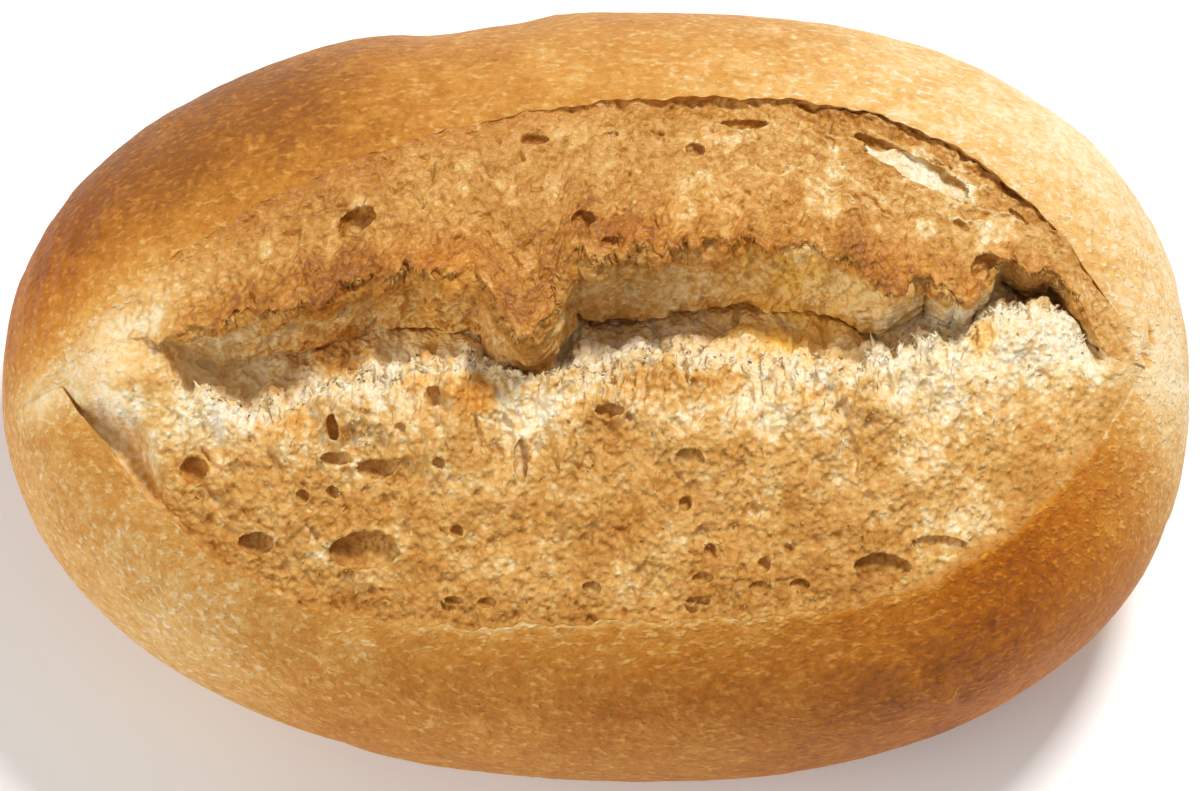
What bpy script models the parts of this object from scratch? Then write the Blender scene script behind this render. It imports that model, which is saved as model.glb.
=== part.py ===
"""A bolillo: a crusty oval roll, slashed along its length and burst open in the oven.

The roll is one solid. Its body is a loft along X, from tip to tip. Each section runs up
the front crust, over the opened slash and down the back crust. Inside the slash lie, from
front to back, the lower face, the crevice and the ear, a crust flap that overhangs the
crevice with a ragged torn edge. Gas bubbles are then cut out of the two faces.

Metres, +Z up, X along the roll, the front at -Y. The origin is on the table, under the
middle of the roll.
"""

import math

import bmesh
import bpy
import numpy as np
from mathutils import Vector

MM = 0.001

# The body
HALF_LENGTH = 67.5 * MM
HALF_WIDTH = 45 * MM
WIDEST_X = 5 * MM  # where the outline is widest
WAIST_HEIGHT = 24 * MM  # of the widest line above the table
CROWN_RISE = 31 * MM  # from the waist to the top of the body
CORNER_POWER = {  # of the plan outline's superellipse, for the left and right ends
    "front": (2.1, 2.25),
    "back": (2.25, 2.4),
}
END_POWER = 2.4  # bluntness of the ends, seen from the side
TOP_POWER = 2.1  # roundness of a section above the waist
BASE_POWER = 2.4  # and below it
BASE_OVERSHOOT = 1.3  # how much further down the belly would reach without the table
BASE_EDGE = 1.2 * MM  # softness of the edge round the flat base
BACK_SAG = {"x": -14 * MM, "reach": 9 * MM, "depth": 1.4 * MM}  # a dip in the back's outline

# The slash, seen from above
CORNER_X = {"left": -64 * MM, "right": 61 * MM}
FRONT_CORNER_X = -59 * MM  # the front lip starts later than the back one on the left
CORNER_Y = {"left": -7 * MM, "right": -4 * MM}
WIDEST_SLASH_X = {"front": -1 * MM, "back": 12 * MM}
LIP_REACH = {"front": 29.9 * MM, "back": 29.6 * MM}  # from the line that joins the corners
LIP_POWER = {"front": (3.3, 4.0), "back": (2.05, 2.95)}  # for the left and right ends
LEAST_REACH = 1 * MM
TIP_WIDTH = 15 * MM  # half-width under which the lips run in to the tip

# Lines along the slash, as (x, size) in mm. A smooth curve joins the points.
TORN_EDGE_Y = ((-64, -6), (-52, -3.2), (-43.5, -4), (-37, -3), (-30, -2), (-24, 0.2), (-18, 0.7),
               (-13.5, -0.4), (-11.6, -1.6), (-10.2, -5), (-8.8, -6.6), (-6.4, -6.7), (-5, -4.4),
               (-3.4, -0.3), (0.5, 1.4), (5, 3), (11, 3.5), (22, 3.6), (27, 2.6), (33.5, -0.6), (36.6, 0.8),
               (38.5, -1), (41.6, -0.8), (43.7, 4.2), (48, 3.6), (51.5, 3.8), (54, 0), (56, -3), (61, -4))
RIM_Y = ((-64, -8), (-54, -9), (-45, -9.6), (-37, -10.9), (-32, -10.5), (-27, -9), (-21, -8.2),
         (-14, -7.4), (-10.5, -7.6), (-7.5, -8.4), (-4.5, -8.2), (1, -8.1), (6, -7.5), (14, -7.2),
         (24, -7.5), (31, -5.6), (37, -2.9), (41, -1.8), (45.4, 0.8), (49.5, 2.2), (52.3, 0.5),
         (54.5, -5), (61, -5))
CREVICE_DEPTH = ((-64, 0), (-51, 0), (-48, 0.3), (-44.5, 5.5), (-36, 8), (-28, 6), (-22, 5),
                 (-15, 5.5), (-9, 5), (-4, 7), (1, 8.5), (6, 8.5), (14, 7.5), (24, 7.5), (31, 7),
                 (36, 5), (41, 2.5), (46, 6), (51, 7), (55, 4), (57, 0), (61, 0))
RECESS = ((-64, 0), (-50, 0), (-44, 0.8), (-36, 0.8), (-28, 0), (-22, -1.3), (-14, -1.2), (-9, 0.5),
          (-4, 0.5), (0.5, -0.3), (6, -1.5), (14, -1.2), (24, -1), (30, 0), (34, 1.8),
          (38, 1.2), (42, 0.5), (46, 1.5), (51, 2), (54, 0.3), (56, 0), (61, 0))
EAR_RISE = ((-64, 0), (-53, 0), (-48, 0.5), (-36, 1.6), (-10, 2.6), (8, 2.8), (30, 2.6), (44, 1.6),
            (53, 0.8), (57, 0), (61, 0))
FACE_DROP = ((-64, 0), (-56, 0), (-51, 0.1), (-44, 2.5), (-36, 3.5), (0, 4.2), (36, 3.8),
             (52, 2.5), (57, 0.2), (61, 0))
HOLLOW_DEPTH = ((-64, 0), (-60, 0), (-57, 3), (-53, 5), (-50, 4.2), (-47.5, 1.6), (-43, 1), (-36, 0.6),
                (61, 0.6))
WIDE_HOLLOW = 4 * MM  # a hollow this deep takes up most of the lower face's width
UNDERCUT = ((-64, 0), (-20, 0), (10, 0.5), (30, 1), (50, 1.2), (57, 0), (61, 0))

LIP_STEP = 0.9 * MM  # the crumb lies this much inside the crust's edge
# How much of that step each lip keeps along the slash, as (x in mm, share)
FRONT_STEP_SHARE = ((-30, 1), (-15, 0.6), (15, 0.6), (38, 0.1))
BACK_STEP_SHARE = ((-15, 0.05), (8, 1))
TORN_THICKNESS = 1.8 * MM  # of the ear at its torn edge
# Raggedness of the torn edge and of the crumb's rim: wavelength and height
RAGS = ((13 * MM, 0.5 * MM), (6.1 * MM, 0.5 * MM), (3.7 * MM, 0.4 * MM))
CRAG_SHARE = 1.3  # how much more the rim is ragged in height than the torn edge is in plan

# Relief of the torn crumb: a sum of waves, shorter along the slash than across it
RELIEF_WAVES = 30
RELIEF_LENGTHS = (3.5 * MM, 11 * MM)
RELIEF_STRETCH = 1.6  # across the slash, the way the dough was pulled
RELIEF_HEIGHT = 0.42 * MM  # the usual height, where the crumb is roughest
RELIEF_SEED = 11

# Lumps that pull the crumb out or in: x, y, radius and height in mm
LUMPS = ((47, -2.5, 4.5, 1.8), (-55, -7.5, 5, 1.2), (-62.5, -7.5, 2.5, 0.7), (-28, -13.5, 4, 1.4),
         (-17, -15, 6, 0.9), (10, -17, 9, 0.5), (31, -24, 8, -0.5), (-8, 12, 9, 0.4), (22, 17, 7, -0.5))

# Gas bubbles cut through a face: x, y and radii along the slash, across it and down, in mm
FRONT_BUBBLES = ((-25.2, -27.2, 3.9, 2, 2.6), (-37, -25.4, 2, 1.3, 1.8),
                 (-43.9, -17.7, 1.5, 1.4, 1.8), (-28.6, -14.6, 1, 1.5, 2.2),
                 (-23.8, -18.4, 2.1, 1.2, 1.6), (-17.6, -10.8, 1.2, 1.1, 1.6),
                 (-8.1, -18.1, 0.9, 2.2, 1.6), (31.2, -29.1, 3.1, 1.6, 1.4),
                 (9.8, -22.7, 0.9, 0.8, 1.2), (18.4, -29.2, 0.9, 0.8, 1.2))
EAR_BUBBLES = ((-26.1, 7.8, 2.1, 1.8, 2.6), (-6.7, 18.4, 1.5, 0.9, 1.6), (-1.4, 6.8, 1.3, 1.4, 2),
               (16.5, 21.1, 2.8, 1, 1.7), (10.9, 16.8, 1.1, 1.2, 1.5), (33.4, 18.6, 3, 1, 1.8),
               (40.2, 8.8, 1, 0.8, 1.2))

BUBBLE_SINK = 0.2  # how far a bubble's middle lies under the face, as a share of its radius

# The grid: rows along X, and columns for the front crust, the slash and the back crust
ROWS = 86
FRONT_COLUMNS = 13
SLASH_COLUMNS = 42
BACK_COLUMNS = 12
BUBBLE_SUBDIVISIONS = 2

CRUST_COLOUR = (0.53, 0.26, 0.07, 1)
CRUST_ROUGHNESS = 0.55


def clear_scene():
    for item in list(bpy.data.objects):
        bpy.data.objects.remove(item)


def along(x, points):
    """A smooth curve through points of (x, size) in mm, read at x in metres."""
    knots, sizes = np.array(points, float).T * MM
    slopes = np.gradient(sizes, knots)
    x = np.clip(x, knots[0], knots[-1])
    i = np.clip(np.searchsorted(knots, x) - 1, 0, len(knots) - 2)
    step = knots[i + 1] - knots[i]
    t = (x - knots[i]) / step
    start = (1 + 2 * t) * (1 - t) ** 2 * sizes[i] + t * (1 - t) ** 2 * step * slopes[i]
    end = t * t * (3 - 2 * t) * sizes[i + 1] + t * t * (t - 1) * step * slopes[i + 1]
    return start + end


def share_along(x, points):
    """A share that changes evenly between points of (x in mm, share), read at x in metres."""
    knots, shares = np.array(points, float).T
    return np.interp(x / MM, knots, shares)


def rags(x, phase):
    """The ragged part of an edge along X."""
    return sum(
        height * np.sin(2 * math.pi * x / wavelength + phase * (k + 1))
        for k, (wavelength, height) in enumerate(RAGS)
    )


def crumb_relief(x, y):
    """Height of the torn crumb's relief at a plan point."""
    draw = np.random.default_rng(RELIEF_SEED)
    lengths = draw.uniform(*RELIEF_LENGTHS, RELIEF_WAVES)
    turns = draw.uniform(0, 2 * math.pi, RELIEF_WAVES)
    phases = draw.uniform(0, 2 * math.pi, RELIEF_WAVES)
    waves = sum(
        np.sin(2 * math.pi * (x * math.cos(turn) + y / RELIEF_STRETCH * math.sin(turn)) / length + phase)
        for length, turn, phase in zip(lengths, turns, phases)
    )
    return RELIEF_HEIGHT * waves / math.sqrt(RELIEF_WAVES / 2)


def shrink(share, power):
    """A superellipse's other coordinate, for one that is this share of its half-axis."""
    return np.clip(1 - np.abs(share) ** power, 0, 1) ** (1 / power)


def half_width(x, side):
    """Half-width of the body's outline at x, on its front or back."""
    left, right = CORNER_POWER[side]
    reach = np.where(x < WIDEST_X, HALF_LENGTH + WIDEST_X, HALF_LENGTH - WIDEST_X)
    share = (x - WIDEST_X) / reach
    width = HALF_WIDTH * np.where(share < 0, shrink(share, left), shrink(share, right))
    if side == "back":
        width = width - BACK_SAG["depth"] * np.exp(-(((x - BACK_SAG["x"]) / BACK_SAG["reach"]) ** 4))
    return width


def body_top(x, y):
    """Height of the uncut crust over the plan point (x, y)."""
    width = np.where(y < 0, half_width(x, "front"), half_width(x, "back"))
    rise = CROWN_RISE * shrink(x / HALF_LENGTH, END_POWER)
    return WAIST_HEIGHT + rise * shrink(y / np.maximum(width, 1e-9), TOP_POWER)


def lip_y(x, side):
    """The slash's front or back lip at x."""
    ends = CORNER_X["left"], CORNER_X["right"]
    widest = WIDEST_SLASH_X[side]
    axis = np.interp(x, ends, (CORNER_Y["left"], CORNER_Y["right"]))
    start = {"front": FRONT_CORNER_X, "back": CORNER_X["left"]}[side]
    share = np.interp(x, (start, widest, ends[1]), (-1, 0, 1))
    left, right = LIP_POWER[side]
    open_share = 1 - np.abs(share) ** np.where(share < 0, left, right)
    reach = np.maximum(LIP_REACH[side] * open_share, LEAST_REACH)
    run_in = np.minimum(1, half_width(x, "front") / TIP_WIDTH)
    return run_in * (axis + (reach if side == "back" else -reach))


def crust_side(x, side, columns):
    """One side's crust, from its lip down to the middle of the base: (y, z) for each row and column."""
    sign = {"front": -1, "back": 1}[side]
    width = half_width(x, side)[:, None]
    lip_share = np.abs(lip_y(x, side))[:, None] / np.maximum(width, 1e-9)
    lip_turn = np.arccos(np.clip(lip_share, 0, 1) ** (TOP_POWER / 2))
    turn = lip_turn + (-math.pi / 2 - lip_turn) * np.linspace(0, 1, columns)
    power = np.where(turn > 0, TOP_POWER, BASE_POWER)
    y = sign * width * np.clip(np.cos(turn), 0, 1) ** (2 / power)
    up = np.abs(np.sin(turn)) ** (2 / power)
    rise = CROWN_RISE * shrink(x / HALF_LENGTH, END_POWER)[:, None]
    fall = BASE_OVERSHOOT * WAIST_HEIGHT * shrink(x / HALF_LENGTH, END_POWER)[:, None]
    z = WAIST_HEIGHT + np.where(turn > 0, rise, -fall) * up
    soft = (z + BASE_EDGE) ** 2 / (4 * BASE_EDGE)
    return y, np.where(z > BASE_EDGE, z, np.where(z < -BASE_EDGE, 0, soft))


def slash_stations(x):
    """The points that pull each section's curve across the slash, from the front lip to the back lip."""
    front, back = lip_y(x, "front"), lip_y(x, "back")
    share = np.interp(x, (CORNER_X["left"], 0, CORNER_X["right"]), (-1, 0, 1))
    openness = 1 - share**6
    depth = openness * np.maximum(along(x, CREVICE_DEPTH), 0)
    width = back - front
    torn = along(x, TORN_EDGE_Y) + rags(x, 1.7) * openness
    torn = np.clip(torn, front + 0.4 * width, front + 0.9 * width)
    rim = along(x, RIM_Y) + 0.7 * rags(x, 4.1) * openness
    rim = np.clip(rim, front + 0.2 * width, torn - 0.02 * width)
    recess = openness * along(x, RECESS)
    rise, drop, hollow, undercut = (
        openness * np.maximum(along(x, sizes), 0) for sizes in (EAR_RISE, FACE_DROP, HOLLOW_DEPTH, UNDERCUT)
    )
    step = openness * LIP_STEP
    front_step, back_step = step * share_along(x, FRONT_STEP_SHARE), step * share_along(x, BACK_STEP_SHARE)
    thickness = np.minimum(openness * TORN_THICKNESS, 0.4 * (rise + drop + depth))
    face, gap, ear = rim - front, torn - rim, back - torn
    cavity = np.clip(hollow / WIDE_HOLLOW, 0, 1)
    inset = np.minimum(step + 1.1 * hollow, (0.45 + 0.33 * cavity) * face)
    recess_above = np.where(recess > 0, recess, 0.35 * recess)
    crag = CRAG_SHARE * openness * rags(x, 2.9) * (depth > 0)
    stations = (  # y, height over the body, share of the relief
        (front, 0 * x, 0),
        (front + 0.3 * inset, -front_step - hollow, 0.2),
        (front + inset, -front_step - 0.9 * hollow, 0.4),
        (front + (0.35 + 0.27 * cavity) * face, -0.85 * drop, 0.7),
        (front + (0.7 + 0.1 * cavity) * face, -drop, 0.9),
        (rim, -0.85 * drop + crag, 1.3),
        (rim + 0.2 * gap, -drop - 0.45 * depth, 1.3),
        (rim + 0.6 * gap, -drop - depth, 1),
        (torn + recess, -drop - depth, 0.6),
        (torn + recess_above, -drop - 0.2 * depth, 0.2),
        (torn + 0.35 * recess_above, rise - thickness, 0.3),
        (torn, rise - 0.5 * thickness, 0.6),
        (torn, rise + 0.2 * thickness, 0.7),
        (torn + 0.14 * ear, 0.9 * rise, 0.6),
        (torn + 0.5 * ear, 0.3 * rise, 0.5),
        (torn + 0.85 * ear, -0.7 * back_step, 0.3),
        (back + undercut, -1.4 * back_step - 0.5 * undercut, 0),
        (back, 0 * x, 0),
    )
    y = np.array([at for at, _, _ in stations])
    level = np.array([body_top(x, np.clip(at, front, back)) + off for at, off, _ in stations])
    relief = np.array([share * openness for _, _, share in stations])
    return y, level, relief


def spline_weights(count, t):
    """Weights of a clamped cubic B-spline's control points, at each t from 0 to 1."""
    knots = np.concatenate([[0] * 3, np.linspace(0, 1, count - 2), [1] * 3])
    t = np.minimum(t, 1 - 1e-9)
    weights = np.array([(knots[i] <= t) & (t < knots[i + 1]) for i in range(len(knots) - 1)], float)
    for degree in (1, 2, 3):
        raised = []
        for i in range(len(weights) - 1):
            left, right = knots[i + degree] - knots[i], knots[i + degree + 1] - knots[i + 1]
            rising = (t - knots[i]) / left if left else 0
            falling = (knots[i + degree + 1] - t) / right if right else 0
            raised.append(rising * weights[i] + falling * weights[i + 1])
        weights = np.array(raised)
    return weights.T


def slash_columns(x, columns):
    """The slash from lip to lip, (y, z) for each row and column, the columns evenly spaced."""
    y, z, relief = slash_stations(x)
    trial = np.linspace(0, 1, 400)
    weights = spline_weights(len(y), trial)
    steps = np.hypot(np.diff(weights @ y, axis=0), np.diff(weights @ z, axis=0)).mean(axis=1)
    length = np.concatenate([[0], np.cumsum(steps)])
    even = np.interp(np.linspace(0, length[-1], columns), length, trial)
    weights = spline_weights(len(y), even)
    y, z, relief = (weights @ y).T, (weights @ z).T, (weights @ relief).T
    return y, z + relief * crumb_relief(x[:, None], y)


def row_places(rows):
    """x of each row, evenly spaced along the crown from tip to tip, tips left out."""
    x = HALF_LENGTH * np.sin(np.linspace(-math.pi / 2, math.pi / 2, 2000))
    z = CROWN_RISE * shrink(x / HALF_LENGTH, END_POWER)
    length = np.concatenate([[0], np.cumsum(np.hypot(np.diff(x), np.diff(z)))])
    return np.interp(np.linspace(0, length[-1], rows + 2)[1:-1], length, x)


def raise_lumps(x, y, z):
    for at_x, at_y, radius, height in LUMPS:
        away = np.hypot(x - at_x * MM, y - at_y * MM) / (radius * MM)
        z = z + height * MM * np.exp(-2 * away**2)
    return z


def roll_grid():
    """The roll's surface as rows of points, each once round its section."""
    x = row_places(ROWS)
    front_y, front_z = crust_side(x, "front", FRONT_COLUMNS)
    slash_y, slash_z = slash_columns(x, SLASH_COLUMNS)
    back_y, back_z = crust_side(x, "back", BACK_COLUMNS)
    slash_z = raise_lumps(x[:, None], slash_y, slash_z)
    y = np.hstack([front_y[:, ::-1], slash_y[:, 1:-1], back_y[:, :-1]])
    z = np.hstack([front_z[:, ::-1], slash_z[:, 1:-1], back_z[:, :-1]])
    return np.dstack([np.broadcast_to(x[:, None], y.shape), y, z])


def lofted_body(grid):
    """A sphere whose rings take the places of the grid's rows, its poles the tips."""
    rows, columns, _ = grid.shape
    shape = bmesh.new()
    bmesh.ops.create_uvsphere(shape, u_segments=columns, v_segments=rows + 1, radius=1)
    for vertex in shape.verts:
        row = round((1 - math.acos(max(-1, min(1, vertex.co.z))) / math.pi) * (rows + 1)) - 1
        column = round(math.atan2(vertex.co.y, vertex.co.x) / (2 * math.pi) * columns) % columns
        if 0 <= row < rows:
            vertex.co = grid[row, column]
        else:
            vertex.co = (math.copysign(HALF_LENGTH, row), 0, WAIST_HEIGHT)
    bmesh.ops.recalc_face_normals(shape, faces=shape.faces)
    mesh = bpy.data.meshes.new("bolillo_roll")
    shape.to_mesh(mesh)
    shape.free()
    return mesh


def bubble_mesh(grid, bubbles, columns):
    """Ellipsoids on one face of the slash, each centred a little under the face."""
    shape = bmesh.new()
    face = grid[:, columns].reshape(-1, 3)
    for x, y, along_slash, across, down in np.array(bubbles) * MM:
        nearest = face[np.hypot(face[:, 0] - x, face[:, 1] - y).argmin()]
        made = bmesh.ops.create_icosphere(shape, subdivisions=BUBBLE_SUBDIVISIONS, radius=1)
        for vertex in made["verts"]:
            vertex.co = Vector(nearest) + Vector(
                (vertex.co.x * along_slash, vertex.co.y * across, (vertex.co.z - BUBBLE_SINK) * down)
            )
    mesh = bpy.data.meshes.new("bubbles")
    shape.to_mesh(mesh)
    shape.free()
    return mesh


def crust_material():
    material = bpy.data.materials.new("baked_crust")
    material.use_nodes = True
    shader = material.node_tree.nodes["Principled BSDF"]
    shader.inputs["Base Color"].default_value = CRUST_COLOUR
    shader.inputs["Roughness"].default_value = CRUST_ROUGHNESS
    shader.inputs["Metallic"].default_value = 0
    return material


def main():
    clear_scene()
    part = bpy.data.collections.new("bolillo_roll")
    cutters = bpy.data.collections.new("bubble_cutters")
    for collection in (part, cutters):
        bpy.context.scene.collection.children.link(collection)
    grid = roll_grid()
    roll = bpy.data.objects.new("bolillo_roll", lofted_body(grid))
    roll.data.materials.append(crust_material())
    part.objects.link(roll)
    slash_start = FRONT_COLUMNS
    crevice = slash_start + SLASH_COLUMNS // 2
    faces = {
        "front_bubbles": (FRONT_BUBBLES, slice(slash_start, crevice)),
        "ear_bubbles": (EAR_BUBBLES, slice(crevice, slash_start + SLASH_COLUMNS)),
    }
    for name, (bubbles, columns) in faces.items():
        cutter = bpy.data.objects.new(name, bubble_mesh(grid, bubbles, columns))
        cutter.hide_render = True
        cutter.display_type = "WIRE"
        cutters.objects.link(cutter)
        cut = roll.modifiers.new(name, "BOOLEAN")
        cut.operation = "DIFFERENCE"
        cut.object = cutter
        cut.use_self = True
    roll.data.shade_smooth()


main()
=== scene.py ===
import math

import bmesh
import bpy
import numpy as np
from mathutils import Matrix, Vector


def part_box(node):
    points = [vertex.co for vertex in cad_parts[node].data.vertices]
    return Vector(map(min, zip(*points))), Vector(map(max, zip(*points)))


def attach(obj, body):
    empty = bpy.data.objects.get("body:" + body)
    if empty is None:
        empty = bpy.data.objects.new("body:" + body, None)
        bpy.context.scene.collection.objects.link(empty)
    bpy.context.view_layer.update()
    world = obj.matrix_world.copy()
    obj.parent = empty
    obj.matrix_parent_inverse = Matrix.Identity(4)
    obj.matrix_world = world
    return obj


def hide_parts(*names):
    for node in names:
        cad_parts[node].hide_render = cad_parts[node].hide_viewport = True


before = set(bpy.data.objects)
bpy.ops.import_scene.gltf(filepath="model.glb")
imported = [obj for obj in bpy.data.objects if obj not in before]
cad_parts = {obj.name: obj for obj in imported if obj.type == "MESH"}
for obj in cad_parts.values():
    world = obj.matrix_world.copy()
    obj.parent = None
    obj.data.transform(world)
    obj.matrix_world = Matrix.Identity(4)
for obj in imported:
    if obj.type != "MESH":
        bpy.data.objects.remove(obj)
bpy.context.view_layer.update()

# A bolillo, burst open along its slash. The roll's form is worked out once, as a fine grid of
# points, and four pieces share it: the crust, the torn lower face, the crevice and the crust
# ear. Single torn fibres stand along the tears.

mm = 0.001
lowCorner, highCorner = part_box("bolillo_roll")
halfLength = (highCorner[0] - lowCorner[0]) / 2

body = {
    "halfWidth": 45 * mm,
    "widestX": 5 * mm,
    "waist": 24 * mm,  # height of the widest line
    "crown": 31 * mm,  # from the waist to the top
    "cornerPower": {"front": (2.1, 2.25), "back": (2.25, 2.4)},  # outline, left and right ends
    "endPower": 2.4,
    "topPower": 2.1,
    "basePower": 2.4,
    "baseOvershoot": 1.3,
    "baseEdge": 1.2 * mm,
    "sagX": -14 * mm,  # a dip in the back's outline
    "sagReach": 9 * mm,
    "sagDepth": 1.4 * mm,
}

# Lines along the slash are points of (x, size) in mm, joined by a smooth curve
slash = {
    "cornerX": (-64 * mm, 61 * mm),
    "frontCornerX": -59 * mm,  # where the front lip starts on the left
    "cornerY": (-7 * mm, -4 * mm),
    "widestX": {"front": -1 * mm, "back": 12 * mm},
    "reach": {"front": 29.9 * mm, "back": 29.6 * mm},
    "lipPower": {"front": (3.3, 4.0), "back": (2.05, 2.95)},
    "lipWaver": ((9.7 * mm, 0.2 * mm), (4.3 * mm, 0.13 * mm), (2.1 * mm, 0.09 * mm)),
    "tipWidth": 15 * mm,
    "lipStep": 0.9 * mm,
    "tornThickness": 1.8 * mm,
    "crag": 1.3,
    "tornEdge": ((-64, -6), (-52, -3.2), (-43.5, -4), (-37, -3), (-30, -2), (-24, 0.2), (-18, 0.7),
                 (-13.5, -0.4), (-11.6, -1.6), (-10.2, -5), (-8.8, -6.6), (-6.4, -6.7), (-5, -4.4),
                 (-3.4, -0.3), (0.5, 1.4), (5, 3), (11, 3.5), (22, 3.6), (27, 2.6), (33.5, -0.6), (36.6, 0.8),
                 (38.5, -1), (41.6, -0.8), (43.7, 4.2), (48, 3.6), (51.5, 3.8), (54, 0), (56, -3), (61, -4)),
    "rim": ((-64, -8), (-54, -9), (-45, -9.6), (-37, -10.9), (-32, -10.5), (-27, -9), (-21, -8.2),
            (-14, -7.4), (-10.5, -7.6), (-7.5, -8.4), (-4.5, -8.2), (1, -8.1), (6, -7.5), (14, -7.2),
            (24, -7.5), (31, -5.6), (37, -2.9), (41, -1.8), (45.4, 0.8), (49.5, 2.2), (52.3, 0.5),
            (54.5, -5), (61, -5)),
    "depth": ((-64, 0), (-51, 0), (-48, 0.3), (-44.5, 5.5), (-36, 8), (-28, 6), (-22, 5), (-15, 5.5), (-9, 5),
              (-4, 7), (1, 8.5), (6, 8.5), (14, 7.5), (24, 7.5), (31, 7), (36, 5), (41, 2.5),
              (46, 6), (51, 7), (55, 4), (57, 0), (61, 0)),
    "recess": ((-64, 0), (-50, 0), (-44, 0.8), (-36, 0.8), (-28, 0), (-22, -1.3), (-14, -1.2), (-9, 0.5),
               (-4, 0.5), (0.5, -0.3), (6, -1.5), (14, -1.2), (24, -1), (30, 0), (34, 1.8),
               (38, 1.2), (42, 0.5), (46, 1.5), (51, 2), (54, 0.3), (56, 0), (61, 0)),
    "earRise": ((-64, 0), (-53, 0), (-48, 0.5), (-36, 1.6), (-10, 2.6), (8, 2.8), (30, 2.6), (44, 1.6),
                (53, 0.8), (57, 0), (61, 0)),
    "faceDrop": ((-64, 0), (-56, 0), (-51, 0.1), (-44, 2.5), (-36, 3.5), (0, 4.2), (36, 3.8),
                 (52, 2.5), (57, 0.2), (61, 0)),
    "hollow": ((-64, 0), (-60, 0), (-57, 3.6), (-53, 6), (-50, 5.2), (-47.5, 1.8), (-43, 1),
               (-36, 0.6), (61, 0.6)),
    "undercut": ((-64, 0), (-20, 0), (10, 0.5), (30, 1), (50, 1.2), (57, 0), (61, 0)),
    # How much of lipStep shows at each x in mm
    "frontStep": ((-63, 0), (-57, 0.2), (-50, 1), (-30, 1), (-15, 0.6), (15, 0.6), (38, 0.1)),
    "backStep": ((-15, 0.05), (8, 1.2), (54, 1.5), (59, 0)),
    "stepWaver": 0.4,
    # Wavelength and height of the ragged edges. The last two are too fine for the solid.
    "rags": ((13 * mm, 0.5 * mm), (6.1 * mm, 0.5 * mm), (3.7 * mm, 0.4 * mm),
             (1.9 * mm, 0.25 * mm), (1.15 * mm, 0.16 * mm)),
    "ragPhases": {"torn": 1.7, "rim": 4.1, "crag": 2.9},
    # x, y, radius and height in mm
    "lumps": ((47, -2.5, 4.5, 1.8), (-55, -7.5, 5, 1.2), (-62.5, -7.5, 2.5, 0.7), (-28, -13.5, 4, 1.4),
              (-17, -15, 6, 0.9), (10, -17, 9, 0.5), (31, -24, 8, -0.5), (-8, 12, 9, 0.4),
              (22, 17, 7, -0.5)),
}

relief = {  # the crumb's own waves, as the solid has them
    "waves": 30,
    "lengths": (3.5 * mm, 11 * mm),
    "stretch": 1.6,
    "height": 0.42 * mm,
    "seed": 11,
}

# Gas bubbles that the cut opened: x, y, radius along the slash, across it and depth, in mm
bubbles = {
    "lower": ((-25.2, -27.2, 3.9, 2, 2.6), (-37, -25.6, 2, 1.3, 1.8), (-43.9, -17.7, 1.5, 1.4, 1.8),
              (-28.6, -14.6, 0.9, 1.5, 2.4), (-28.4, -17.4, 1.6, 0.7, 1.4), (-23.8, -18.4, 2.1, 1, 1.6),
              (-17, -18.6, 0.7, 0.7, 1), (-21.2, -14.6, 0.6, 0.5, 0.9), (-17.6, -10.8, 1.1, 1.1, 1.6),
              (-8.1, -18.1, 0.8, 2.3, 1.6), (-15.1, -25.5, 0.7, 0.7, 1), (-31.9, -21.3, 0.7, 0.7, 1),
              (-28.7, -20.7, 0.7, 0.7, 1), (9.8, -22.7, 0.7, 0.8, 1.1), (12.6, -27.7, 0.7, 0.7, 1),
              (18.4, -29.2, 0.7, 0.8, 1.1), (-15.4, -32.6, 1.1, 0.5, 0.8), (-11.8, -33, 1.1, 0.5, 0.8),
              (11.3, -33, 1.3, 0.5, 0.8), (-0.5, -31.6, 1.1, 0.7, 0.7), (11.6, -30.7, 1.1, 0.6, 0.7),
              (17.9, -31.6, 1.1, 0.6, 0.7), (22.1, -31, 1.1, 0.6, 0.7), (31.2, -29.1, 3.1, 1.7, 1.5),
              (37.5, -26.4, 3, 1, 0.8), (1.6, -12.8, 1.6, 0.7, 1), (10.3, -18.1, 1.5, 1.1, 0.9)),
    "ear": ((-26.1, 7.8, 2.1, 1.8, 2.8), (-6.7, 18.4, 1.5, 0.9, 1.7), (-1.4, 6.8, 1.3, 1.4, 2.2),
            (1.5, 3.6, 0.9, 0.5, 1), (1.7, 19.1, 0.8, 0.5, 1), (6.8, 19.5, 0.8, 0.5, 1),
            (10.9, 16.8, 1.1, 1.2, 1.4), (16.5, 21.1, 2.8, 0.9, 1.6), (31.6, 19.2, 2.9, 0.9, 1.9),
            (38.4, 17.2, 1.4, 0.4, 0.8), (40.2, 8.8, 1, 0.7, 1.2), (46.9, 11.2, 1.4, 0.8, 1.2),
            (42.8, 3.4, 1.5, 1.8, 2.4)),
    "trough": ((35.8, 15.9, 6.6, 1.9, 1.3),),  # long, shallow and pale
}

grid = {"rows": 900, "crustColumns": 56, "lower": 136, "crevice": 130, "ear": 136}
zones = ("lower", "crevice", "ear")
zoneEnds = (0, 0.285, 0.69, 1)  # along the stations' curve

noiseTable = 256  # random values each way
poreTable = 512

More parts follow.
